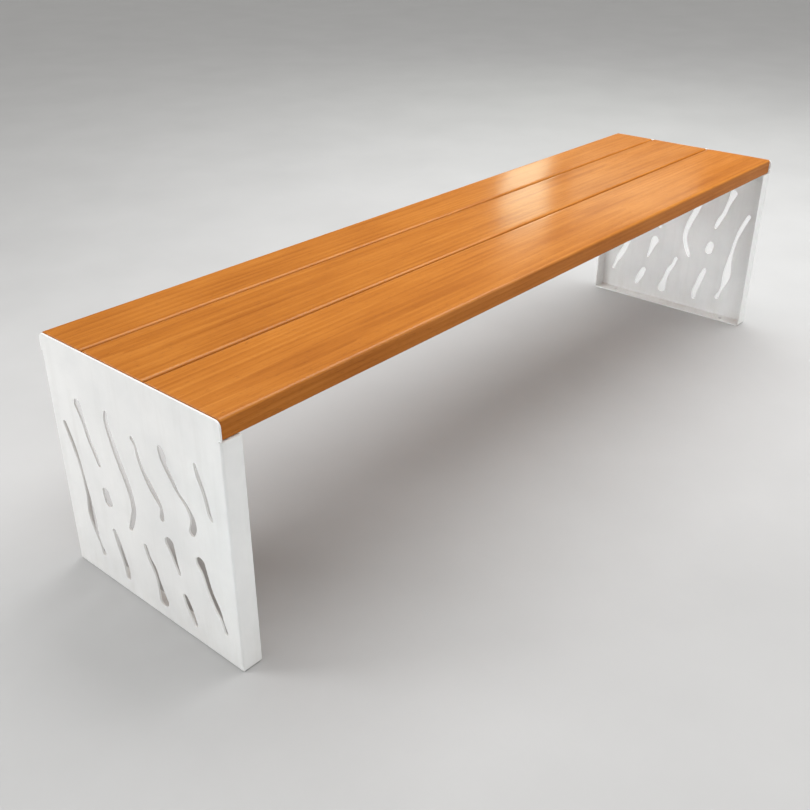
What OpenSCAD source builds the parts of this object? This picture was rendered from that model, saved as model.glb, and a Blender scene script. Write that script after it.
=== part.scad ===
// Backless bench. Two folded steel end panels carry a seat of three planks.
// Each panel is a tray that opens towards the middle of the bench. A welded
// angle inside its top, the seat rest, holds the plank ends, and three folded
// cross ties hold the planks level between the rests. Every plank is screwed
// from below, so nothing shows on the seat.
// Millimetres. X runs along the seat, the front is at -Y, and the origin is on
// the ground under the middle of the bench.

/* [Overall] */
// Length over the outer faces of the end panels
bench_l = 1800; // [1200:50:2400]
// Depth from front flange to rear flange
bench_w = 450; // [400:10:600]
// Height of the seat top above the ground
seat_h = 450; // [380:10:550]

/* [End panels] */
// Thickness of the folded sheet
sheet_t = 3; // [2:0.5:4]
// Inside radius of every bend
bend_r = 2; // [1:0.5:3]
// Width of the front, rear and bottom flanges
flange_w = 37; // [34:1:60]
// Radius of the two free corners at the top
top_corner_r = 10; // [2:1:20]
// Radius ground on the corners that stand on the ground
foot_corner_r = 6; // [1:1:6]
// Height of the relief cut above each upright flange
relief_h = 2; // [1:0.5:4]
// How far a panel's top edge stays below the seat top
panel_drop = 1.5; // [0:0.5:4]

/* [Slot pattern] */
// Plain border left and right of the pattern
slot_side = 25; // [15:1:50]
// Plain border below the pattern
slot_bottom = 25; // [20:1:60]
// Plain border between the pattern and the planks
slot_top = 50; // [40:1:90]

/* [Seat rests] */
// Thickness of the rest's sheet
rest_t = 3; // [2:0.5:4]
// Depth of the leg that is welded to the end panel
rest_leg = 25; // [20:1:35]
// How far the rest stays back from the free edge of the flanges
rest_back = 1; // [0:0.5:3]
// Gap between the rest and the flange at either end of it
rest_clear = 1; // [0.5:0.5:2]

/* [Planks] */
// Thickness of the planks
plank_t = 35; // [30:1:45]
// Width of the front plank
front_plank_w = 172; // [120:1:180]
// Width of the rear plank
rear_plank_w = 110; // [90:1:140]
// Gap between two planks
plank_gap = 3; // [2:0.5:10]
// How far the outer planks stay back from the flanges
plank_setback = 3; // [1:0.5:8]
// Gap between a plank's end and the end panel
end_gap = 1.5; // [0.5:0.5:4]
// Radius of the planks' upper arrises
top_arris_r = 5; // [1:0.5:6]
// Radius of the planks' lower arrises
bottom_arris_r = 4; // [1:0.5:6]

/* [Cross ties] */
// Width of a tie's web
tie_w = 40; // [36:1:60]
// Depth of a tie, down from the planks
tie_h = 25; // [18:1:35]
// Thickness of a tie's sheet
tie_t = 3; // [2:0.5:4]
// How far a tie's ends stay back from the flanges
tie_inset = 20; // [15:1:22]
// Distance from the middle tie to the outer ones
tie_pitch = 440; // [250:10:500]

/* [Fasteners] */
// Diameter of the wood screws
screw_d = 6; // [5:0.5:8]
// Length of a screw under its head
screw_l = 28; // [20:1:30]
// Width of a screw's head across its flats
head_af = 10; // [8:1:13]
// Height of a screw's head
head_h = 4; // [3:0.5:6]
// Outer diameter of the washers
washer_d = 16; // [14:1:20]
// Thickness of the washers
washer_t = 1.5; // [1:0.5:2]
// Distance from a plank's edge to its screws
screw_inset = 30; // [28:1:35]
// Distance from the panel's outer face to the screws of the rest
rest_screw_x = 22; // [20:1:26]
// Extra diameter of the holes in the steel, for the timber's movement
hole_clear = 1; // [0.5:0.5:2]
// Extra diameter of the holes in the timber
pilot_clear = 0.1; // [0.1:0.1:0.4]

/* [Ground fixing] */
// Diameter of the anchor holes in the bottom flanges
anchor_d = 11; // [9:1:14]
// Distance from a panel's outer face to its anchor holes
anchor_x = 20; // [18:1:22]
// Distance from the front and rear flanges to the anchor holes
anchor_y = 60; // [30:5:120]

/* [Welds] */
// Leg of every weld bead
weld_r = 3; // [2:0.5:3]
// Length of each bead along the seat rest
weld_l = 30; // [20:5:40]
// Number of beads along the seat rest
weld_n = 4; // [2:1:5]

/* [Hidden] */
$fn = 48;

cut = 1;                              // how far every cutting shape runs past a face
bend_out_r = bend_r + sheet_t;
panel_x = -bench_l / 2;               // outer face of the left panel
edge_y = bench_w / 2;                 // outer face of the rear flange
rest_z = seat_h - plank_t;            // underside of the planks
plank_l = bench_l - 2 * (sheet_t + end_gap);

// Planks, from front to rear: [front edge, width]
middle_plank_w = bench_w - 2 * plank_setback - 2 * plank_gap - front_plank_w - rear_plank_w;
front_plank_y = plank_setback - edge_y;
middle_plank_y = front_plank_y + front_plank_w + plank_gap;
rear_plank_y = middle_plank_y + middle_plank_w + plank_gap;
planks = [
    [front_plank_y, front_plank_w],
    [middle_plank_y, middle_plank_w],
    [rear_plank_y, rear_plank_w]
];

// Two screws go up into each plank at every rest and tie
screw_ys = [for (p = planks) for (y = [p[0] + screw_inset, p[0] + p[1] - screw_inset]) y];
rest_x = bench_l / 2 - rest_screw_x;
rest_l = bench_w - 2 * (sheet_t + rest_clear);
screw_tip_h = screw_d / 2;
head_cone = 2;                        // how fast the chamfer under a head widens, per height

// The slots are strokes of varying width: [along, up, width] at each point, in
// a field that is 400 wide and 340 high and seen from outside the bench
field_w = 400;
field_h = 340;
strokes = [
    [[8, 268, 10], [23, 232, 11], [33, 198, 8], [38, 165, 8], [42, 135, 13],
     [43, 98, 22], [48, 68, 12], [55, 45, 6], [62, 28, 12]],
    [[59, 321, 20], [63, 307, 15], [69, 290, 11], [77, 262, 11], [87, 242, 12], [95, 221, 8]],
    [[101, 170, 19], [105, 154, 21]],
    [[139, 334, 8], [137, 315, 12], [147, 280, 15], [159, 248, 16], [172, 215, 15],
     [178, 190, 13], [178, 168, 12], [169, 143, 12], [161, 127, 10]],
    [[203, 313, 9], [210, 302, 6], [213, 285, 8], [222, 262, 10], [238, 238, 14],
     [250, 223, 12], [258, 208, 8], [256, 190, 12]],
    [[276, 322, 15], [280, 311, 18], [283, 298, 12], [298, 275, 10], [308, 260, 7],
     [325, 245, 8], [336, 228, 12], [337, 212, 16], [332, 199, 15]],
    [[358, 329, 7], [363, 312, 10], [372, 290, 9], [377, 272, 9], [380, 255, 9], [385, 245, 6]],
    [[108, 95, 11], [115, 75, 14], [123, 48, 14], [129, 28, 15], [129, 11, 13]],
    [[197, 107, 10], [203, 88, 10], [213, 72, 13], [220, 52, 11], [225, 32, 16], [229, 13, 25]],
    [[267, 147, 23], [273, 130, 16], [278, 113, 11], [284, 96, 7]],
    [[292, 53, 13], [300, 35, 17], [311, 9, 11]],
    [[344, 146, 24], [352, 128, 16], [360, 102, 15], [372, 78, 16], [378, 67, 14],
     [383, 55, 8], [390, 36, 9]]
];
stroke_steps = 6;                     // straight pieces between two points of a stroke
cap_step = 15;                        // degrees between points on a stroke's round ends

// The field is stretched to the room between the plain borders
slot_kx = (bench_w - 2 * slot_side) / field_w;
slot_kz = (rest_z - slot_bottom - slot_top) / field_h;
slot_kw = min(slot_kx, slot_kz);

// Point of a smooth curve through the points p, a share t of the way from p[i] to the next
function spline(p, i, t) =
    let (a = p[max(i - 1, 0)], b = p[i], c = p[i + 1], d = p[min(i + 2, len(p) - 1)])
    b + t / 2 * ((c - a) + t * ((2 * a - 5 * b + 4 * c - d) + t * (3 * b - a - 3 * c + d)));

function smooth(p) = [
    for (i = [0:len(p) - 2]) for (s = [0:stroke_steps - 1]) spline(p, i, s / stroke_steps),
    p[len(p) - 1]
];

function fitted(p) = [for (q = p) [q[0] * slot_kx, q[1] * slot_kz, q[2] * slot_kw]];

// Direction of travel at point i of the centre line c, in degrees
function heading(c, i) =
    let (d = c[min(i + 1, len(c) - 1)] - c[max(i - 1, 0)])
    atan2(d[1], d[0]);

// Point on the stroke's rim, turned away from the direction of travel
function rim(c, i, turn) =
    [c[i][0], c[i][1]] + c[i][2] / 2 * [cos(heading(c, i) + turn), sin(heading(c, i) + turn)];

// Closed outline round a centre line: one side, the end, the other side, the start
function outline(c) =
    let (n = len(c) - 1)
    concat(
        [for (i = [0:n]) rim(c, i, 90)],
        [for (a = [90 - cap_step:-cap_step:cap_step - 90]) rim(c, n, a)],
        [for (i = [n:-1:0]) rim(c, i, -90)],
        [for (a = [-90 - cap_step:-cap_step:cap_step - 270]) rim(c, 0, a)]
    );

// Extrudes a Y-Z drawing towards +X, from x0 over length l
module along_x(x0, l)
    translate([x0, 0, 0]) rotate([90, 0, 90]) linear_extrude(l) children();

// Extrudes an X-Z drawing towards +Y, from y0 over length l
module along_y(y0, l)
    translate([0, y0 + l, 0]) rotate([90, 0, 0]) linear_extrude(l) children();

// What a rounded corner takes away. The corner is at the origin, and the
// material lies towards sx, sy.
module corner_cut(r, sx, sy)
    difference() {
        translate([sx > 0 ? -cut : -r, sy > 0 ? -cut : -r]) square(r + cut);
        translate([sx * r, sy * r]) circle(r);
    }

// A quarter of a disc in the corner between two faces that meet at the origin
module bead_2d(sx, sy)
    intersection() {
        circle(weld_r);
        translate([sx > 0 ? 0 : -weld_r, sy > 0 ? 0 : -weld_r]) square(weld_r);
    }

// Block that a tray's outside or inside is cut from, with its three bends round
module tray_block(inset, r, l, top)
    intersection() {
        linear_extrude(top)
            difference() {
                translate([panel_x + inset, inset - edge_y]) square([l, bench_w - 2 * inset]);
                for (s = [-1, 1])
                    translate([panel_x + inset, s * (edge_y - inset)]) corner_cut(r, 1, -s);
            }
        along_y(-edge_y - cut, bench_w + 2 * cut)
            difference() {
                translate([panel_x + inset, inset]) square([l + cut, top]);
                translate([panel_x + inset, inset]) corner_cut(r, 1, 1);
            }
    }

// Rounds the ground corners: seen from the end, and at the flanges' free edges
module foot_corners() {
    free_x = panel_x + flange_w;
    for (s = [-1, 1]) {
        along_x(panel_x - cut, flange_w + 2 * cut)
            translate([s * edge_y, 0]) corner_cut(foot_corner_r, -s, 1);
        along_y(s > 0 ? edge_y - sheet_t : -edge_y - cut, sheet_t + cut)
            translate([free_x, 0]) corner_cut(foot_corner_r, -1, 1);
        translate([0, 0, -cut])
            linear_extrude(sheet_t + cut)
                translate([free_x, s * edge_y]) corner_cut(foot_corner_r, -1, -s);
    }
}

// The part of the sheet that covers the plank ends, on a neck between the reliefs
module tab()
    along_x(panel_x, sheet_t) {
        difference() {
            translate([-edge_y, rest_z + relief_h])
                square([bench_w, plank_t - relief_h - panel_drop]);
            for (s = [-1, 1])
                translate([s * edge_y, seat_h - panel_drop]) corner_cut(top_corner_r, -s, -1);
        }
        translate([bend_out_r - edge_y, rest_z - bend_out_r])
            square([bench_w - 2 * bend_out_r, relief_h + 2 * bend_out_r]);
    }

module slots()
    translate([panel_x + sheet_t + cut, edge_y - slot_side, slot_bottom])
        rotate([90, 0, -90])
            linear_extrude(sheet_t + 2 * cut)
                for (p = strokes) polygon(outline(smooth(fitted(p))));

module anchor_holes()
    for (s = [-1, 1])
        translate([panel_x + anchor_x, s * (edge_y - anchor_y), -cut])
            cylinder(d = anchor_d, h = sheet_t + 2 * cut);

module end_panel()
    color("whitesmoke") difference() {
        union() {
            difference() {
                tray_block(0, bend_out_r, flange_w, rest_z);
                tray_block(sheet_t, bend_r, flange_w, rest_z + cut);
                foot_corners();
            }
            tab();
        }
        slots();
        anchor_holes();
    }

// Angle under the plank ends: one leg on the panel, one leg under the planks
module seat_rest() {
    x0 = panel_x + sheet_t;
    w = flange_w - sheet_t - rest_back;
    color("gainsboro") difference() {
        along_y(-rest_l / 2, rest_l) difference() {
            translate([x0, rest_z - rest_leg]) square([w, rest_leg]);
            translate([x0 + rest_t, rest_z - rest_leg - cut])
                difference() {
                    square([w, rest_leg - rest_t + cut]);
                    translate([0, rest_leg - rest_t + cut]) corner_cut(bend_r, 1, -1);
                }
            translate([x0, rest_z]) corner_cut(bend_r + rest_t, 1, -1);
        }
        for (s = [-1, 1]) bend_chamfer(x0, s);
        for (y = screw_ys)
            translate([-rest_x, y, rest_z - rest_t - cut])
                cylinder(d = screw_d + hole_clear, h = rest_t + 2 * cut);
    }
}

// Takes off the rest's corner at end s, which would meet the panel's upright bend
module bend_chamfer(x0, s)
    translate([0, 0, rest_z - rest_leg - cut])
        linear_extrude(rest_leg + 2 * cut)
            polygon([
                [x0 - cut, s * (rest_l / 2 + cut)],
                [x0 + bend_r + cut, s * (rest_l / 2 + cut)],
                [x0 - cut, s * (rest_l / 2 - bend_r - cut)]
            ]);

// Beads that join the seat rest to the panel, and the tray's corners
module welds() {
    pitch = (rest_l - 2 * bend_r - weld_l) / (weld_n - 1);
    inner_y = edge_y - sheet_t;
    flat_x = panel_x + sheet_t + rest_t + bend_r;
    color("silver") {
        for (i = [0:weld_n - 1])
            along_y(i * pitch - rest_l / 2 + bend_r, weld_l)
                translate([panel_x + sheet_t, rest_z - rest_leg]) bead_2d(1, -1);
        for (s = [-1, 1]) {
            along_x(flat_x, panel_x + flange_w - rest_back - flat_x)
                translate([s * inner_y, rest_z - rest_t]) bead_2d(-s, -1);
            along_x(flat_x, panel_x + flange_w - foot_corner_r - flat_x)
                translate([s * inner_y, sheet_t]) bead_2d(-s, 1);
        }
    }
}

// Plank number i of the list, with the screws' blind holes in its underside
module plank(i) {
    y0 = planks[i][0];
    w = planks[i][1];
    color("peru") difference() {
        along_x(-plank_l / 2, plank_l) difference() {
            translate([y0, rest_z]) square([w, plank_t]);
            translate([y0, seat_h]) corner_cut(top_arris_r, 1, -1);
            translate([y0 + w, seat_h]) corner_cut(top_arris_r, -1, -1);
            translate([y0, rest_z]) corner_cut(bottom_arris_r, 1, 1);
            translate([y0 + w, rest_z]) corner_cut(bottom_arris_r, -1, 1);
        }
        for (y = [screw_ys[2 * i], screw_ys[2 * i + 1]]) {
            for (x = [-rest_x, rest_x])
                translate([x, y, 0]) screw_shank(rest_t, pilot_clear);
            for (x = [-tie_pitch, 0, tie_pitch])
                translate([x, y, 0]) screw_shank(tie_t, pilot_clear);
        }
    }
}

// Channel across the planks at x, open downwards, with its ends cut at 45 degrees
module cross_tie(x) {
    l = bench_w - 2 * tie_inset;
    out_r = bend_r + tie_t;
    inner_w = tie_w - 2 * tie_t;
    inner_h = tie_h - tie_t;
    color("silver") difference() {
        along_y(-l / 2, l) translate([x - tie_w / 2, rest_z - tie_h]) difference() {
            square([tie_w, tie_h]);
            translate([0, tie_h]) corner_cut(out_r, 1, -1);
            translate([tie_w, tie_h]) corner_cut(out_r, -1, -1);
            translate([tie_t, -cut])
                difference() {
                    square([inner_w, inner_h + cut]);
                    translate([0, inner_h + cut]) corner_cut(bend_r, 1, -1);
                    translate([inner_w, inner_h + cut]) corner_cut(bend_r, -1, -1);
                }
        }
        along_x(x - tie_w / 2 - cut, tie_w + 2 * cut)
            for (s = [-1, 1])
                polygon([
                    [s * (l / 2 + cut), rest_z - out_r + cut],
                    [s * (l / 2 + cut), rest_z - tie_h - cut],
                    [s * (l / 2 - tie_h + out_r - cut), rest_z - tie_h - cut]
                ]);
        for (y = screw_ys)
            translate([x, y, rest_z - tie_t - cut])
                cylinder(d = screw_d + hole_clear, h = tie_t + 2 * cut);
    }
}

// Shank of a screw that clamps steel of thickness t, grown by grow in diameter
module screw_shank(t, grow) {
    d = screw_d + grow;
    z0 = rest_z - t - washer_t;
    translate([0, 0, z0]) cylinder(d = d, h = screw_l - screw_tip_h);
    translate([0, 0, z0 + screw_l - screw_tip_h])
        cylinder(d1 = d, d2 = grow, h = screw_tip_h);
}

// Row of hexagon wood screws at x, one for each place in the planks
module screws(x, t)
    color("lightsteelblue") for (y = screw_ys) translate([x, y, 0]) {
        screw_shank(t, 0);
        translate([0, 0, rest_z - t - washer_t - head_h]) intersection() {
            cylinder(d = head_af / cos(30), h = head_h, $fn = 6);
            cylinder(d1 = head_af, d2 = head_af + 2 * head_cone * head_h, h = head_h);
        }
    }

module washers(x, t)
    color("lightgray") for (y = screw_ys) translate([x, y, rest_z - t - washer_t])
        difference() {
            cylinder(d = washer_d, h = washer_t);
            translate([0, 0, -cut]) cylinder(d = screw_d + hole_clear, h = washer_t + 2 * cut);
        }

// The right panel is the left one turned half a turn round the bench's middle
module right_end() rotate([0, 0, 180]) children();

end_panel();  // end_panel_left
right_end() end_panel();  // end_panel_right
seat_rest();  // seat_rest_left
mirror([1, 0, 0]) seat_rest();  // seat_rest_right
welds();  // welds_left
right_end() welds();  // welds_right
plank(0);  // plank_front
plank(1);  // plank_middle
plank(2);  // plank_rear
cross_tie(-tie_pitch);  // cross_tie_left
cross_tie(0);  // cross_tie_centre
cross_tie(tie_pitch);  // cross_tie_right
screws(-rest_x, rest_t);  // rest_screws_left
screws(rest_x, rest_t);  // rest_screws_right
washers(-rest_x, rest_t);  // rest_washers_left
washers(rest_x, rest_t);  // rest_washers_right
screws(-tie_pitch, tie_t);  // tie_screws_left
screws(0, tie_t);  // tie_screws_centre
screws(tie_pitch, tie_t);  // tie_screws_right
washers(-tie_pitch, tie_t);  // tie_washers_left
washers(0, tie_t);  // tie_washers_centre
washers(tie_pitch, tie_t);  // tie_washers_right
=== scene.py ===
import math

import bmesh
import bpy
from mathutils import Matrix, Vector, noise


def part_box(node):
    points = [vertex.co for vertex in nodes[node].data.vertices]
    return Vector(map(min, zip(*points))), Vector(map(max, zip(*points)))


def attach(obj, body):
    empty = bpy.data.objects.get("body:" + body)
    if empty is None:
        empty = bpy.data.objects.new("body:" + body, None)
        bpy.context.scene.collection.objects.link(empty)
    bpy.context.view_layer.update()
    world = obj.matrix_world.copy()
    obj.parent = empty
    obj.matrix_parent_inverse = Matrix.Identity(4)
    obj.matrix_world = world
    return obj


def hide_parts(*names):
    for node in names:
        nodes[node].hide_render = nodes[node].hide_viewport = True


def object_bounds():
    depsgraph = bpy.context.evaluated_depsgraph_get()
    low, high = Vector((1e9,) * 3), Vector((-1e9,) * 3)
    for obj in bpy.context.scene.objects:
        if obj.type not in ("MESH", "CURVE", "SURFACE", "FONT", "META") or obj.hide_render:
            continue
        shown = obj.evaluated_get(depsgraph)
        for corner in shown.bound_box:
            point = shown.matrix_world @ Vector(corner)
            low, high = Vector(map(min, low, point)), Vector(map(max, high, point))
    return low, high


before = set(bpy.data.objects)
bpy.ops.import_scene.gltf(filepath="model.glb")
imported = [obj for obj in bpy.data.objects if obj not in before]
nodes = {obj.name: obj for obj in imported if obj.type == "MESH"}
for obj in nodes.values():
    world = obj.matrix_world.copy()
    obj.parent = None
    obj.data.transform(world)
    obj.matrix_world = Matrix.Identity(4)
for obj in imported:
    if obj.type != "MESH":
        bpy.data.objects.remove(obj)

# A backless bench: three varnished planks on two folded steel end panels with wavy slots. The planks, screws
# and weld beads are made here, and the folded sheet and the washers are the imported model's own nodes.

# Everything is in metres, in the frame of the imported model: +X along the seat, the front at -Y, +Z up.
MM = 0.001
cad_low, cad_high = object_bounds()

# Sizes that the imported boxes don't give
SHEET = 3 * MM                # sheet of the end panels, seat rests and cross ties
TOP_ARRIS = 5 * MM            # radius of the planks' upper edges
BOTTOM_ARRIS = 4 * MM         # radius of the planks' lower edges
END_ARRIS = 1 * MM            # radius of the planks' edges at the end grain
SCREW_INSET = 30 * MM         # a plank's edge to its screws
SCREW_RADIUS = 3 * MM
HEAD_FLATS = 10 * MM          # width of a screw's head across its flats
HEAD_HEIGHT = 4 * MM
PILOT_RADIUS = 3.05 * MM      # of the blind holes that the screws fill
PILOT_CUT = 24 * MM           # length of such a cut, PILOT_OVERRUN of it below the plank
PILOT_OVERRUN = 1 * MM
WELD_LEG = 3 * MM
WELD_LENGTH = 30 * MM         # of each bead under a seat rest
WELD_COUNT = 4
FOOT_BEAD_SHORTER = 5 * MM    # how much earlier the beads at the foot end than those at the rest
BEND = 2 * MM                 # inside radius of the folded sheet

# Rounds on the edges of the nodes that stay, and the least angles that count as an edge
PANEL_ROUND = 0.5 * MM
SHEET_ROUND = 0.4 * MM        # of the seat rests and cross ties
WASHER_ROUND = 0.2 * MM
EDGE_ANGLE = math.radians(40)
CREASE_ANGLE = math.radians(50)    # in the shading after the rounds are on

PLANK_NODES = ["plank_front", "plank_middle", "plank_rear"]
SCREW_NODES = ["rest_screws_left", "rest_screws_right",
               "tie_screws_left", "tie_screws_centre", "tie_screws_right"]

# Camera: where it stands, where it looks, and its focal length and sensor width in millimetres
CAMERA_AT = Vector((-1.609, -1.176, 1.104))
CAMERA_HEADING = math.radians(41.12)      # from +X towards +Y
CAMERA_DROP = math.radians(28.46)         # below the horizon
CAMERA_LENS = 44.1
CAMERA_SENSOR = 36

# World by height above the horizon: (sine of the elevation, level). The light has a dim band where the seat
# mirrors it, as in a room with dark walls, and the backdrop that shows behind the bench is plain.
SKY_BANDS = [(0.0, 0.85), (0.09, 0.80), (0.16, 0.06), (0.45, 0.05), (0.62, 0.85), (1.0, 1.0)]
BACKDROP_BANDS = [(0.0, 0.30), (0.10, 0.50), (0.30, 0.66), (1.0, 0.75)]

# Lamp colours
PLAIN = (1.0, 1.0, 1.0)
COOL = (0.80, 0.95, 1.0)
TUBE = (0.85, 1.0, 0.78)
FLOOR_REACH = 30              # from the bench to the floor's edges


# ---- Node materials ---------------------------------------------------------------------------

class Shader:
    """One material's node tree. A value is a number, a tuple or another node's output socket."""

    def __init__(self, name):
        self.material = bpy.data.materials.new(name)
        self.material.use_nodes = True
        self.tree = self.material.node_tree
        self.surface = self.tree.nodes["Principled BSDF"]
        self.place = self.node("TexCoord").outputs["Object"]

    def feed(self, socket, value):
        if isinstance(value, bpy.types.NodeSocket):
            self.tree.links.new(value, socket)
        else:
            socket.default_value = value

    def node(self, kind, values=None, **settings):
        made = self.tree.nodes.new("ShaderNode" + kind)
        for key, value in settings.items():
            setattr(made, key, value)
        for key, value in (values or {}).items():
            self.feed(made.inputs[key], value)
        return made

    def set(self, **values):
        """Sets the surface's sockets; coat_weight=1 sets its Coat Weight."""
        for key, value in values.items():
            words = key.split("_")
            name = " ".join(w.upper() if w == "ior" else w.capitalize() for w in words)
            self.feed(self.surface.inputs[name], value)

    def math(self, operation, a, b):
        return self.node("Math", {0: a, 1: b}, operation=operation).outputs[0]

    def stretched(self, scale, shift=(0, 0, 0), turn=(0, 0, 0)):
        """The place on the surface, scaled along each axis, turned and then moved by shift."""
        values = {"Vector": self.place, "Location": shift, "Rotation": turn, "Scale": scale}
        return self.node("Mapping", values).outputs[0]

    def noise(self, scale, detail=2.0, rough=0.5, shift=(0, 0, 0)):
        """Soft noise with this many features per metre along each axis."""
        place = self.stretched(scale, shift)
        values = {"Vector": place, "Scale": 1.0, "Detail": detail, "Roughness": rough}
        return self.node("TexNoise", values).outputs["Fac"]

    def fit(self, value, low, high, to_low=0.0, to_high=1.0):
        """Maps low..high to to_low..to_high and holds it there outside."""
        values = {"Value": value, "From Min": low, "From Max": high, "To Min": to_low, "To Max": to_high}
        return self.node("MapRange", values).outputs["Result"]

    def mix(self, a, b, share, blend="MIX"):
        """Colour a, and b (or a blended with b) where share is 1."""
        made = self.node("Mix", data_type="RGBA", blend_type=blend)
        self.feed(made.inputs["Factor"], share)
        self.feed(made.inputs[6], a)
        self.feed(made.inputs[7], b)
        return made.outputs[2]

    def ramp(self, value, stops):
        made = self.node("ValToRGB", {"Fac": value})
        elements = made.color_ramp.elements
        while len(elements) < len(stops):
            elements.new(0.5)
        for element, (position, colour) in zip(elements, stops):
            element.position = position
            element.color = (*colour, 1.0)
        return made.outputs["Color"]

    def edges(self, radius):
        """1 on an edge of the shape, down to 0 within about this radius of it."""
        rounded = self.node("Bevel", {"Radius": radius}).outputs["Normal"]
        plain = self.node("NewGeometry").outputs["Normal"]
        turned = self.node("VectorMath", {0: rounded, 1: plain}, operation="DOT_PRODUCT").outputs["Value"]
        return self.fit(turned, 0.80, 0.99, 1.0, 0.0)

    def bump(self, height, depth, strength, under=None):
        """Surface normal for a height from 0 to 1 that stands for depth metres."""
        values = {"Height": height, "Distance": depth, "Strength": strength}
        if under is not None:
            values["Normal"] = under
        return self.node("Bump", values).outputs["Normal"]


def powder_coat(name, dust):
    """White powder coat: orange peel, clouding, faint rain runs, rubbed edges and dust at the foot."""
    run_colour = (0.68, 0.675, 0.655, 1)
    dust_colour = (0.56, 0.52, 0.45, 1)
    speck_colour = (0.45, 0.43, 0.40, 1)
    rubbed_colour = (0.50, 0.49, 0.47, 1)
    dust_height = 0.09
    edge_width = 1.2 * MM
    s = Shader(name)
    peel = s.noise((420, 420, 420), 1.0)
    fine_peel = s.noise((1500, 1500, 1500), 2.0)
    cloud = s.noise((9, 9, 9), 4.0, 0.6)
    white = s.ramp(cloud, [(0.3, (0.79, 0.795, 0.79)), (0.7, (0.87, 0.87, 0.86))])
    runs = s.fit(s.noise((45, 45, 5), 4.0, 0.6, (0.7, 0.2, 0.5)), 0.50, 0.75)
    colour = s.mix(white, run_colour, s.math("MULTIPLY", runs, 0.30))
    height = s.node("SeparateXYZ", {0: s.place}).outputs["Z"]
    low = s.fit(height, 0.0, dust_height, 1.0, 0.0)
    patches = s.fit(s.noise((30, 30, 14), 5.0, 0.65), 0.42, 0.7)
    dirt = s.math("MULTIPLY", s.math("MULTIPLY", low, patches), dust)
    colour = s.mix(colour, dust_colour, dirt)
    specks = s.fit(s.noise((600, 600, 600), 1.0, shift=(3.1, 1.7, 0.4)), 0.76, 0.8)
    colour = s.mix(colour, speck_colour, s.math("MULTIPLY", specks, 0.25))
    rubbed = s.fit(s.noise((90, 90, 90), 4.0, 0.65, (1.9, 0.3, 2.2)), 0.50, 0.66)
    rubbed = s.math("MULTIPLY", rubbed, s.edges(edge_width))
    colour = s.mix(colour, rubbed_colour, s.math("MULTIPLY", rubbed, 0.45))
    rough = s.math("ADD", s.fit(cloud, 0.3, 0.7, 0.34, 0.44), s.math("MULTIPLY", dirt, 0.35))
    rough = s.math("ADD", rough, s.math("MULTIPLY", rubbed, 0.15))
    relief = s.bump(peel, 0.10 * MM, 0.7)
    relief = s.bump(fine_peel, 0.015 * MM, 0.5, relief)
    s.set(base_color=colour, roughness=rough, normal=relief, coat_weight=0.25, coat_roughness=0.22)
    return s.material


def timber(name, pith, shift, seed, tint):
    """Stained and varnished plank. pith is the log's centre in Y and Z, and tint scales the stain."""
    pore_colour = (0.13, 0.038, 0.010, 1)
    arris_wear_and_highlight_colour = (0.62, 0.26, 0.055, 1)
    side_darkening = (0.90, 0.86, 0.86, 1)
    s = Shader(name)
    ring_place = s.stretched((0.055, 1, 1), (shift, -pith[0], -pith[1]), (0, 0, 0.012))
    ring_values = {"Vector": ring_place, "Scale": 42.0, "Distortion": 9.0, "Detail": 2.5,
                   "Detail Scale": 0.35, "Detail Roughness": 0.55}
    rings = s.node("TexWave", ring_values, wave_type="RINGS", rings_direction="X", wave_profile="SAW")
    late = s.fit(rings.outputs["Fac"], 0.35, 1.0)
    streak = s.noise((3.5, 150, 150), 4.0, 0.6, (seed, 0, 0))
    fibre = s.noise((22, 900, 900), 3.0, 0.6, (0, seed, 0))
    mottle = s.noise((4, 13, 13), 3.0, 0.55, (0, 0, seed))
    tone = s.math("MULTIPLY", late, 0.20)
    tone = s.math("ADD", tone, s.fit(streak, 0.3, 0.7, 0.0, 0.34))
    tone = s.math("ADD", tone, s.fit(fibre, 0.3, 0.7, 0.0, 0.16))
    tone = s.math("ADD", tone, s.fit(mottle, 0.3, 0.7, 0.0, 0.30))
    wood = s.ramp(tone, [
        (0.10, (0.54 * tint, 0.205 * tint, 0.036 * tint)),
        (0.48, (0.445 * tint, 0.152 * tint, 0.022 * tint)),
        (0.95, (0.30 * tint, 0.087 * tint, 0.011 * tint)),
    ])
    pores = s.fit(s.noise((70, 1500, 1500), 1.0, shift=(seed, seed, 0)), 0.66, 0.72)
    wood = s.mix(wood, pore_colour, s.math("MULTIPLY", pores, 0.55))
    # Lighter along the arrises: worn stain, and also a painted highlight that strengthens the bright line
    # the rounded arrises catch.
    arris = s.node("Attribute", attribute_name="arris").outputs["Fac"]
    arris_wear_and_highlight = s.math("MULTIPLY", arris, s.fit(s.noise((14, 60, 60), 3.0), 0.35, 0.65, 0.05, 0.40))
    wood = s.mix(wood, arris_wear_and_highlight_colour, arris_wear_and_highlight)
    # The sides and the underside are drawn darker than the top, and their varnish is thinner.
    facing_up = s.node("Attribute", attribute_name="facing_up").outputs["Fac"]
    wood = s.mix(wood, side_darkening, s.math("SUBTRACT", 1.0, facing_up), "MULTIPLY")
    rough = s.math("ADD", s.fit(mottle, 0.3, 0.7, 0.30, 0.42), s.math("MULTIPLY", pores, 0.15))
    relief = s.bump(pores, -0.08 * MM, 0.5)
    relief = s.bump(late, 0.04 * MM, 0.4, relief)
    relief = s.bump(fibre, 0.03 * MM, 0.5, relief)
    film = s.bump(s.noise((120, 300, 300), 2.0), 0.02 * MM, 0.5)
    film = s.bump(fibre, 0.012 * MM, 0.4, film)
    varnish = s.fit(facing_up, 0.0, 1.0, 0.14, 0.38)
    s.set(base_color=wood, roughness=rough, normal=relief, specular_ior_level=0.02)
    s.set(coat_weight=varnish, coat_roughness=0.17, coat_normal=film)
    return s.material


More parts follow.
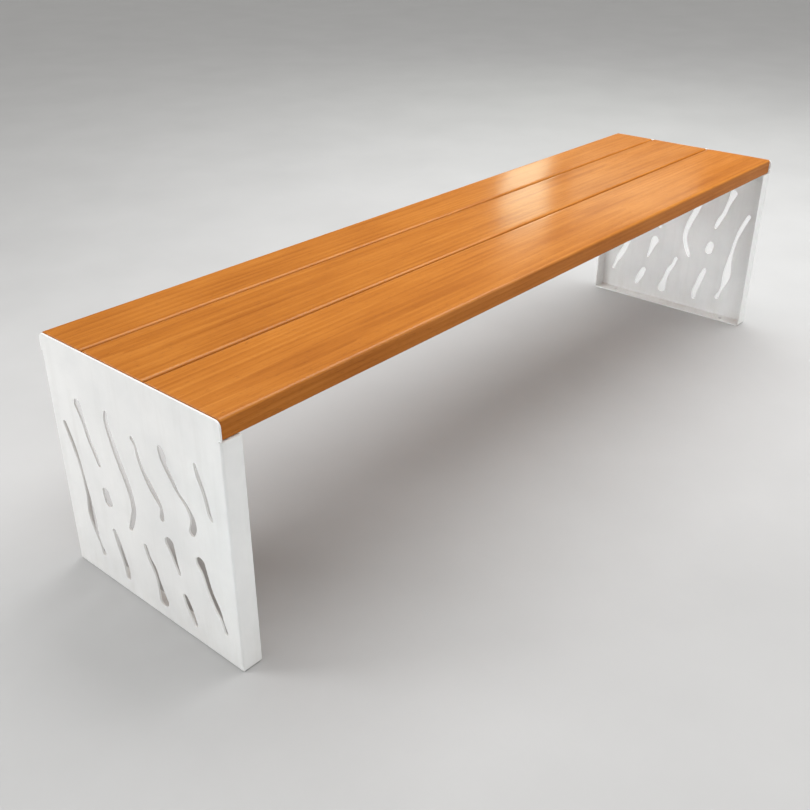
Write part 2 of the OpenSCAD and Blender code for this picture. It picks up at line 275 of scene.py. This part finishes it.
def stainless(name):
    """Plain stainless fasteners: fine tool marks and a little tarnish."""
    s = Shader(name)
    marks = s.noise((300, 2600, 2600), 3.0, 0.6)
    stain = s.noise((160, 160, 160), 3.0, 0.6)
    colour = s.ramp(stain, [(0.3, (0.50, 0.49, 0.47)), (0.7, (0.66, 0.655, 0.64))])
    rough = s.math("ADD", s.fit(marks, 0.3, 0.7, 0.24, 0.38), s.fit(stain, 0.4, 0.7, 0.0, 0.1))
    s.set(base_color=colour, metallic=1.0, roughness=rough, normal=s.bump(marks, 0.02 * MM, 0.5))
    return s.material


def studio_floor(name):
    """Plain pale floor, matt and hardly uneven."""
    s = Shader(name)
    grain = s.noise((3, 3, 3), 5.0, 0.6)
    colour = s.ramp(grain, [(0.3, (0.45, 0.45, 0.45)), (0.7, (0.48, 0.48, 0.48))])
    s.set(base_color=colour, roughness=s.fit(grain, 0.3, 0.7, 0.75, 0.85))
    return s.material


# ---- Mesh helpers -----------------------------------------------------------------------------

def grid_faces(bm, rows, closed):
    """Joins rows of vertices, each to the next. closed also joins each row's end to its start."""
    for one, two in zip(rows, rows[1:]):
        count = len(one)
        for i in range(count if closed else count - 1):
            j = (i + 1) % count
            bm.faces.new((one[i], one[j], two[j], two[i]))


def finished(bm, name, material, stands_for):
    """Turns a bmesh into a piece that rides on the bench and stands for a CAD node."""
    bmesh.ops.recalc_face_normals(bm, faces=bm.faces)
    mesh = bpy.data.meshes.new(name)
    bm.to_mesh(mesh)
    bm.free()
    piece = bpy.data.objects.new(name, mesh)
    bpy.context.scene.collection.objects.link(piece)
    mesh.shade_smooth()
    mesh.set_sharp_from_angle(angle=EDGE_ANGLE)
    mesh.materials.append(material)
    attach(piece, "root")
    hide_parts(stands_for)
    return piece


# ---- Planks -----------------------------------------------------------------------------------

def arc(centre, radius, start, steps):
    """Points over a quarter turn, counter-clockwise from the angle start, in degrees."""
    angles = [math.radians(start + 90 * i / steps) for i in range(steps + 1)]
    return [(centre[0] + radius * math.cos(a), centre[1] + radius * math.sin(a)) for a in angles]


def between(a, b, count):
    """count points on the way from a to b, without the ends."""
    shares = [(i + 1) / (count + 1) for i in range(count)]
    return [(a[0] + (b[0] - a[0]) * t, a[1] + (b[1] - a[1]) * t) for t in shares]


def plank_section(low, high):
    """Outline of a plank in Y and Z, counter-clockwise: [(y, z, outward y, outward z, arris)]."""
    corners = [
        arc((high.y - BOTTOM_ARRIS, low.z + BOTTOM_ARRIS), BOTTOM_ARRIS, -90, 6),
        arc((high.y - TOP_ARRIS, high.z - TOP_ARRIS), TOP_ARRIS, 0, 8),
        arc((low.y + TOP_ARRIS, high.z - TOP_ARRIS), TOP_ARRIS, 90, 8),
        arc((low.y + BOTTOM_ARRIS, low.z + BOTTOM_ARRIS), BOTTOM_ARRIS, 180, 6),
    ]
    flats = [4, 30, 4, 12]    # points on the rear side, the top, the front side and the underside
    points = []
    for corner, flat, after in zip(corners, flats, corners[1:] + corners[:1]):
        for i, (y, z) in enumerate(corner):
            bend = math.sin(math.pi * i / (len(corner) - 1))
            points.append((y, z, bend))
        points += [(y, z, 0.0) for y, z in between(corner[-1], after[0], flat)]
    section = []
    for i, (y, z, bend) in enumerate(points):
        before, after = points[i - 1], points[(i + 1) % len(points)]
        out = Vector((after[1] - before[1], before[0] - after[0])).normalized()
        section.append((y, z, out.x, out.y, bend))
    return section


def plank_stations(low, high):
    """Places along a plank with how far its section is drawn in there, for rounded ends."""
    steps, spacing = 4, 6 * MM
    ends = []
    for i in range(steps + 1):
        a = math.pi / 2 * i / steps
        ends.append((END_ARRIS * (1 - math.sin(a)), END_ARRIS * (1 - math.cos(a))))
    count = round((high.x - low.x) / spacing)
    inner = [(END_ARRIS + (high.x - low.x - 2 * END_ARRIS) * i / count, 0.0) for i in range(1, count)]
    start = [(low.x + x, inset) for x, inset in reversed(ends)]
    finish = [(high.x - x, inset) for x, inset in ends]
    return start + [(low.x + x, inset) for x, inset in inner] + finish


def drill(mesh_object, centres, low):
    """Cuts the screws' blind holes into the underside of a plank."""
    bm = bmesh.new()
    for x, y in centres:
        at = Matrix.Translation((x, y, low.z + PILOT_CUT / 2 - PILOT_OVERRUN))
        bmesh.ops.create_cone(bm, cap_ends=True, segments=24, radius1=PILOT_RADIUS,
                              radius2=PILOT_RADIUS, depth=PILOT_CUT, matrix=at)
    mesh = bpy.data.meshes.new("pilot_holes")
    bm.to_mesh(mesh)
    bm.free()
    cutter = bpy.data.objects.new("pilot_holes", mesh)
    bpy.context.scene.collection.objects.link(cutter)
    cut = mesh_object.modifiers.new("holes", "BOOLEAN")
    cut.operation = "DIFFERENCE"
    cut.solver = "EXACT"
    cut.object = cutter
    whole = mesh_object.data
    shown = mesh_object.evaluated_get(bpy.context.evaluated_depsgraph_get())
    mesh_object.data = bpy.data.meshes.new_from_object(shown)
    mesh_object.modifiers.clear()
    bpy.data.objects.remove(cutter)
    bpy.data.meshes.remove(mesh)
    bpy.data.meshes.remove(whole)


def screw_ys(node):
    """Where a plank's two rows of screws lie across the bench."""
    low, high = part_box(node)
    return (low.y + SCREW_INSET, high.y - SCREW_INSET)


def plank(node, material, seed, crown):
    """A plank with rounded arrises, an uneven planed top (crowned, or else hollow) and its pilot holes."""
    wave_depth, ripple_depth, crown_depth = 0.16 * MM, 0.03 * MM, 0.2 * MM
    wave_along, wave_across = 5, 14          # noise features per metre
    ripple_along, ripple_across = 22, 30
    low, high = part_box(node)
    section = plank_section(low, high)
    middle, half = (low.y + high.y) / 2, (high.y - low.y) / 2
    bm = bmesh.new()
    arris = bm.verts.layers.float.new("arris")
    facing_up = bm.verts.layers.float.new("facing_up")
    rows = []
    for x, inset in plank_stations(low, high):
        row = []
        for y, z, out_y, out_z, bend in section:
            across = (y - middle) / half
            hollow = across * across if crown else 1 - across * across
            wave = 0.5 + 0.5 * noise.noise(Vector((x * wave_along, y * wave_across, seed)))
            ripple = 0.5 + 0.5 * noise.noise(Vector((x * ripple_along, y * ripple_across, seed + 9)))
            sunk = inset + wave_depth * wave + ripple_depth * ripple
            sunk += crown_depth * hollow * max(0.0, out_z)
            v = bm.verts.new((x, y - out_y * sunk, z - out_z * sunk))
            v[arris] = bend
            v[facing_up] = max(0.0, out_z)
            row.append(v)
        rows.append(row)
    grid_faces(bm, rows, True)
    bm.faces.new(rows[0])
    bm.faces.new(rows[-1])
    piece = finished(bm, node + "_timber", material, node)
    xs = [(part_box(n)[0].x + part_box(n)[1].x) / 2 for n in SCREW_NODES]
    drill(piece, [(x, y) for x in xs for y in screw_ys(node)], low)


# ---- Fasteners --------------------------------------------------------------------------------

AROUND = 24                   # vertices round a screw
THREAD_PITCH = 2.6 * MM
CORE_RADIUS = 2.1 * MM
THREAD_HALF_WIDTH = 0.28      # of the ridge, as a share of the pitch
PLAIN_SHANK = 5 * MM          # from the head to where the thread starts
TIP = 3 * MM                  # length of the taper
TIP_BLUNT = 0.04              # the tip's width, as a share of the shank's
HEAD_DISH = 0.3 * MM          # depth of the hollow in the head
HEAD_EASE = 0.15 * MM         # round on the head's upper edge
DISH_MIDDLE = 0.30            # rings on the head's face, as shares of half its width across flats
DISH_BOTTOM = 0.62
DISH_RIM = 0.72
FACE_EDGE = 0.97


def hex_radius(angle):
    """How far a hexagon's side lies from its centre in this direction."""
    off = (angle + math.pi / 6) % (math.pi / 3) - math.pi / 6
    return HEAD_FLATS / 2 / math.cos(off)


def ring(bm, at, z, radius):
    """A ring of vertices round a screw's axis. radius is a function of the angle."""
    angles = [2 * math.pi * i / AROUND for i in range(AROUND)]
    return [bm.verts.new((at[0] + radius(a) * math.cos(a), at[1] + radius(a) * math.sin(a), z))
            for a in angles]


def thread_radius(angle, z, start, tip_z):
    """How far a screw reaches at this angle and height. The thread grows in from start."""
    taper = min(1.0, (tip_z - z) / TIP + TIP_BLUNT)
    phase = ((z - start) / THREAD_PITCH - angle / (2 * math.pi)) % 1
    ridge = max(0.0, 1 - abs(phase - 0.5) / THREAD_HALF_WIDTH)
    grow = min(1.0, (z - start) / (2 * THREAD_PITCH))
    core = SCREW_RADIUS + (CORE_RADIUS - SCREW_RADIUS) * grow
    return (core + (SCREW_RADIUS - core) * ridge) * taper


def chamfer_ring(bm, at, low_z, half_flats):
    """The hexagon's outline under the head, which rises towards the corners."""
    made = []
    for i in range(AROUND):
        a = 2 * math.pi * i / AROUND
        r = hex_radius(a)
        z = low_z + (r - FACE_EDGE * half_flats) / 2
        made.append(bm.verts.new((at[0] + r * math.cos(a), at[1] + r * math.sin(a), z)))
    return made


def add_screw(bm, at, low_z, high_z):
    """Hexagon wood screw, its head down. The head is chamfered and slightly dished."""
    half_flats = HEAD_FLATS / 2
    seat = low_z + HEAD_HEIGHT
    rows = [
        ring(bm, at, low_z + HEAD_DISH, lambda a: DISH_MIDDLE * half_flats),
        ring(bm, at, low_z + HEAD_DISH, lambda a: DISH_BOTTOM * half_flats),
        ring(bm, at, low_z, lambda a: DISH_RIM * half_flats),
        ring(bm, at, low_z, lambda a: FACE_EDGE * half_flats),
        chamfer_ring(bm, at, low_z, half_flats),
        ring(bm, at, seat - HEAD_EASE, hex_radius),
        ring(bm, at, seat, lambda a: hex_radius(a) - HEAD_EASE),
        ring(bm, at, seat, lambda a: SCREW_RADIUS),
        ring(bm, at, seat + PLAIN_SHANK, lambda a: SCREW_RADIUS),
    ]
    step = THREAD_PITCH / 8
    start = seat + PLAIN_SHANK + step
    count = int((high_z - start) / step)
    for i in range(count + 1):
        z = start + (high_z - start) * i / count
        rows.append(ring(bm, at, z, lambda a: thread_radius(a, z, start, high_z)))
    grid_faces(bm, rows, True)
    bm.faces.new(rows[0])
    bm.faces.new(rows[-1])


def screws(node, material):
    """The row of six screws of one seat rest or cross tie."""
    low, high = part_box(node)
    bm = bmesh.new()
    for plank_node in PLANK_NODES:
        for y in screw_ys(plank_node):
            add_screw(bm, ((low.x + high.x) / 2, y), low.z, high.z)
    finished(bm, node + "_threaded", material, node)


# ---- Welds ------------------------------------------------------------------------------------

def add_bead(bm, start, length, along, side_a, side_b):
    """Fillet bead in the corner that runs from start; side_a and side_b are the faces' directions."""
    ripple_pitch = 1.9 * MM
    ripple_lead = 0.315       # bow of each ripple, as a share of its pitch
    scallop_depth = 0.10      # of the valleys between ripples, as a share of the leg
    fullness = 0.45           # of the bulge, from 0 for a flat face to 1 for a round one
    blunt_end = 0.05          # the least swell squared, at the bead's ends
    around, spacing = 8, 0.3 * MM
    count = round(length / spacing)
    rows = []
    for i in range(count + 1):
        travelled = length * i / count
        off_middle = abs(2 * travelled / length - 1)
        swell = 1.0
        if off_middle > 1 - 2 * WELD_LEG / length:
            into_end = (off_middle - 1) * length / (2 * WELD_LEG) + 1
            swell = math.sqrt(max(blunt_end, 1 - into_end * into_end))
        row = [bm.verts.new(start + along * travelled)]
        for k in range(around + 1):
            a = math.pi / 2 * k / around
            chord = 1 / (math.cos(a) + math.sin(a))
            phase = travelled / ripple_pitch + ripple_lead * math.sin(2 * a)
            scallop = scallop_depth * math.sqrt(abs(math.sin(math.pi * phase)))
            reach = chord + (1 - chord) * fullness - scallop_depth + scallop
            radius = WELD_LEG * swell * reach
            arm = side_a * math.cos(a) + side_b * math.sin(a)
            row.append(bm.verts.new(start + along * travelled + arm * radius))
        rows.append(row)
    grid_faces(bm, rows, True)
    bm.faces.new(rows[0])
    bm.faces.new(rows[-1])


def welds(side, material):
    """All beads of one end of the bench, laid out on the left end and half-turned for the right."""
    bm = bmesh.new()
    rest_low, rest_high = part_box("seat_rest_left")
    panel_low, panel_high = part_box("end_panel_left")
    bead_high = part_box("welds_left")[1]
    web = panel_low.x + SHEET
    east, up = Vector((1, 0, 0)), Vector((0, 0, 1))
    north = Vector((0, 1, 0))
    pitch = (rest_high.y - rest_low.y - 2 * BEND - WELD_LENGTH) / (WELD_COUNT - 1)
    for i in range(WELD_COUNT):
        start = Vector((web, rest_low.y + BEND + i * pitch, rest_low.z))
        add_bead(bm, start, WELD_LENGTH, north, east, -up)
    run = web + SHEET + BEND
    for sign in (-1, 1):
        flange = panel_high.y - SHEET if sign > 0 else panel_low.y + SHEET
        rest_end = Vector((run, flange, rest_high.z - SHEET))
        add_bead(bm, rest_end, bead_high.x - run, east, north * -sign, -up)
        foot = Vector((run, flange, SHEET))
        add_bead(bm, foot, bead_high.x - FOOT_BEAD_SHORTER - run, east, north * -sign, up)
    if side == "right":
        bmesh.ops.rotate(bm, verts=bm.verts, cent=(0, 0, 0), matrix=Matrix.Rotation(math.pi, 3, "Z"))
    finished(bm, f"welds_{side}_beads", material, f"welds_{side}")


# ---- CAD nodes that stay ----------------------------------------------------------------------

def smooth_by_angle(limit):
    """Geometry nodes that shade every face smooth and keep edges hard past the limit."""
    group = bpy.data.node_groups.new("smooth_by_angle", "GeometryNodeTree")
    group.interface.new_socket("Geometry", in_out="INPUT", socket_type="NodeSocketGeometry")
    group.interface.new_socket("Geometry", in_out="OUTPUT", socket_type="NodeSocketGeometry")
    add, link = group.nodes.new, group.links.new
    start, end = add("NodeGroupInput"), add("NodeGroupOutput")
    faces, edges = add("GeometryNodeSetShadeSmooth"), add("GeometryNodeSetShadeSmooth")
    edges.domain = "EDGE"
    edges.inputs["Shade Smooth"].default_value = False
    angle = add("GeometryNodeInputMeshEdgeAngle")
    steep = add("FunctionNodeCompare")
    steep.operation = "GREATER_THAN"
    steep.inputs["B"].default_value = limit
    link(start.outputs[0], faces.inputs["Geometry"])
    link(faces.outputs[0], edges.inputs["Geometry"])
    link(angle.outputs["Unsigned Angle"], steep.inputs["A"])
    link(steep.outputs[0], edges.inputs["Selection"])
    link(edges.outputs[0], end.inputs[0])
    return group


def ease_edges(node, material, width, shading):
    """Gives a CAD node its material and the small round that a coat or a press leaves on its edges."""
    piece = nodes[node]
    piece.data.materials[0] = material
    weld = piece.modifiers.new("weld", "WELD")
    weld.merge_threshold = 0.005 * MM
    flat = piece.modifiers.new("flat", "DECIMATE")
    flat.decimate_type = "DISSOLVE"
    flat.angle_limit = math.radians(0.5)
    round_edges = piece.modifiers.new("round_edges", "BEVEL")
    round_edges.width = width
    round_edges.segments = 2
    round_edges.limit_method = "ANGLE"
    round_edges.angle_limit = EDGE_ANGLE
    shade = piece.modifiers.new("shade", "NODES")
    shade.node_group = shading
    normals = piece.modifiers.new("normals", "WEIGHTED_NORMAL")
    normals.keep_sharp = True


# ---- Studio -----------------------------------------------------------------------------------

def soft_light(name, at, aim, size, power, colour=PLAIN, spread=180):
    """Lamp of this size in metres, power in watts and spread in degrees."""
    data = bpy.data.lights.new(name, "AREA")
    data.color = colour
    data.shape = "RECTANGLE"
    data.size, data.size_y = size
    data.energy = power
    data.spread = math.radians(spread)
    lamp = bpy.data.objects.new(name, data)
    bpy.context.scene.collection.objects.link(lamp)
    lamp.location = at
    lamp.rotation_euler = (Vector(aim) - Vector(at)).to_track_quat("-Z", "Y").to_euler()
    lamp.visible_camera = False


def band_ramp(tree, height, bands):
    """Grey levels by height above the horizon, a little warm."""
    ramp = tree.nodes.new("ShaderNodeValToRGB")
    tree.links.new(height, ramp.inputs["Fac"])
    elements = ramp.color_ramp.elements
    while len(elements) < len(bands):
        elements.new(0.5)
    for element, (position, level) in zip(elements, bands):
        element.position = position
        element.color = (level, level * 0.99, level * 0.97, 1)
    return ramp.outputs["Color"]


def surrounding_light():
    """World light: a pale band at the horizon, a dim band above it, and a bright soft dome overhead."""
    world = bpy.data.worlds.new("studio_light")
    world.use_nodes = True
    tree = world.node_tree
    place = tree.nodes.new("ShaderNodeTexCoord")
    split = tree.nodes.new("ShaderNodeSeparateXYZ")
    tree.links.new(place.outputs["Generated"], split.inputs[0])
    path = tree.nodes.new("ShaderNodeLightPath")
    choice = tree.nodes.new("ShaderNodeMix")
    choice.data_type = "RGBA"
    tree.links.new(path.outputs["Is Camera Ray"], choice.inputs["Factor"])
    tree.links.new(band_ramp(tree, split.outputs["Z"], SKY_BANDS), choice.inputs[6])
    tree.links.new(band_ramp(tree, split.outputs["Z"], BACKDROP_BANDS), choice.inputs[7])
    tree.links.new(choice.outputs[2], tree.nodes["Background"].inputs["Color"])
    bpy.context.scene.world = world


def floor():
    """Wide plain ground under the bench, which isn't part of it."""
    bm = bmesh.new()
    bmesh.ops.create_grid(bm, x_segments=8, y_segments=8, size=FLOOR_REACH)
    mesh = bpy.data.meshes.new("studio_floor")
    bm.to_mesh(mesh)
    bm.free()
    ground = bpy.data.objects.new("studio_floor", mesh)
    bpy.context.scene.collection.objects.link(ground)
    ground.location.z = cad_low.z
    mesh.materials.append(studio_floor("studio_floor"))


def studio():
    """Surrounding light, soft lamps and a pale floor. Each lamp: place, aim, size, watts, colour, spread."""
    surrounding_light()
    soft_light("overhead", (1.3, 0.1, 2.7), (1.301, 0.1, 0), (3.2, 3.0), 100)
    soft_light("left_side", (-2.5, 1.8, 1.3), (-0.9, 0.1, 0.3), (1.2, 1.0), 12, PLAIN, 95)
    soft_light("low_left", (-3.0, -1.0, 0.30), (0.9, -0.08, 0.22), (0.4, 0.3), 0.24, COOL, 15)
    soft_light("front_left", (-2.8, -3.9, 1.1), (0.6, -0.1, 0.2), (1.8, 1.0), 28)
    soft_light("front_right", (3.3, -3.9, 1.2), (0.9, -0.2, 0.2), (1.8, 1.0), 24)
    soft_light("lamp_behind", (3.77, 2.47, 1.64), (0.27, 0.10, 0.45), (0.30, 0.46), 2.6, TUBE)
    soft_light("dim_lamp_behind", (3.34, 1.45, 1.44), (0.35, -0.14, 0.45), (0.70, 0.24), 1.1, TUBE)
    floor()
    bpy.context.scene.view_settings.view_transform = "Standard"


def camera():
    data = bpy.data.cameras.new("camera")
    data.sensor_width = CAMERA_SENSOR
    data.lens = CAMERA_LENS
    eye = bpy.data.objects.new("camera", data)
    bpy.context.scene.collection.objects.link(eye)
    eye.location = CAMERA_AT
    eye.rotation_euler = (math.pi / 2 - CAMERA_DROP, 0, CAMERA_HEADING - math.pi / 2)
    bpy.context.scene.camera = eye


# ---- The bench --------------------------------------------------------------------------------

camera()
studio()

white = powder_coat("white_powder_coat_panel", dust=0.2)
inner_white = powder_coat("white_powder_coat_inner", dust=0.0)
steel = stainless("stainless_fasteners")

front_timber = timber("timber_front", pith=(-0.16, 0.36), shift=0.4, seed=1.3, tint=1.0)
plank("plank_front", front_timber, seed=1.7, crown=True)
middle_timber = timber("timber_middle", pith=(0.06, 0.33), shift=2.1, seed=4.1, tint=0.97)
plank("plank_middle", middle_timber, seed=5.2, crown=False)
rear_timber = timber("timber_rear", pith=(0.21, 0.38), shift=3.7, seed=7.7, tint=0.96)
plank("plank_rear", rear_timber, seed=8.9, crown=True)

shading = smooth_by_angle(CREASE_ANGLE)
for side in ("left", "right"):
    ease_edges(f"end_panel_{side}", white, PANEL_ROUND, shading)
    ease_edges(f"seat_rest_{side}", inner_white, SHEET_ROUND, shading)
    ease_edges(f"rest_washers_{side}", steel, WASHER_ROUND, shading)
    welds(side, inner_white)
for place in ("left", "centre", "right"):
    ease_edges(f"cross_tie_{place}", inner_white, SHEET_ROUND, shading)
    ease_edges(f"tie_washers_{place}", steel, WASHER_ROUND, shading)
for node in SCREW_NODES:
    screws(node, steel)
